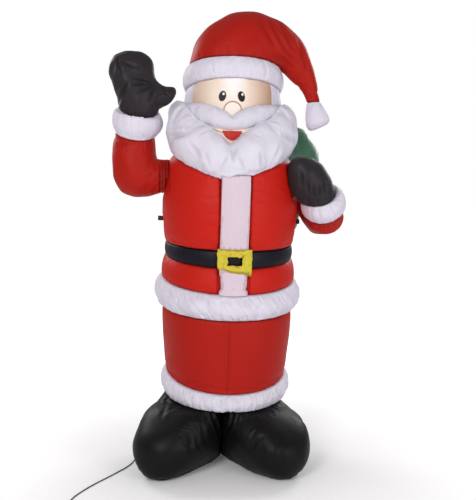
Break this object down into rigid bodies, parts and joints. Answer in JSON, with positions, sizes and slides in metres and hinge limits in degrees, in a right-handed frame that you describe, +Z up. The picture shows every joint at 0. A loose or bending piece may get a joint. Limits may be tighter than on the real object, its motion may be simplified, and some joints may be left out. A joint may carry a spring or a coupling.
{
  "type": "inflatable santa",
  "caption": "Tall inflatable Santa lawn figure of sewn fabric lobes, one mitten raised, a sack on its shoulder, with a small blower and mains lead at the heels.",
  "frame": {"origin": "on the ground, under the middle of the figure's box measured without the free lead", "axes": "+Z up, the figure faces -Y, +X is on the viewer's right"},
  "size_m": [1.5964, 1.1741, 2.4041],
  "materials": {
    "red": "satin",
    "trim": "satin",
    "hair": "satin",
    "beard": "satin",
    "moustache": "satin",
    "skin": "satin",
    "placket": "satin",
    "belt": "satin",
    "boots": "satin",
    "mittens": "satin",
    "buckle": "satin",
    "sack": "satin",
    "webbing": "matt",
    "blower": "matt",
    "lead": "satin"
  },
  "bodies": {
    "root": {"hat": "red", "jacket": "red", "jacket_skirt": "red", "trousers": "red", "raised_sleeve": "red", "lowered_sleeve": "red", "hat_band": "trim", "hem_trim": "trim", "leg_trim": "trim", "pompom": "trim", "raised_cuff": "trim", "lowered_cuff": "trim", "hair": "hair", "beard": "beard", "moustache": "moustache", "face": "skin", "mouth": "skin", "placket_upper": "placket", "placket_lower": "placket", "belt": "belt", "left_boot": "boots", "right_boot": "boots", "raised_mitten": "mittens", "lowered_mitten": "mittens", "buckle": "buckle", "sack": "sack", "left_tether_loop": "webbing", "right_tether_loop": "webbing", "blower_housing": "blower", "blower_grille": "blower", "strain_relief": "blower", "cord": "lead", "cord_coil": "lead", "cord_tail": "lead", "plug": "lead"}
  },
  "joints": []
}
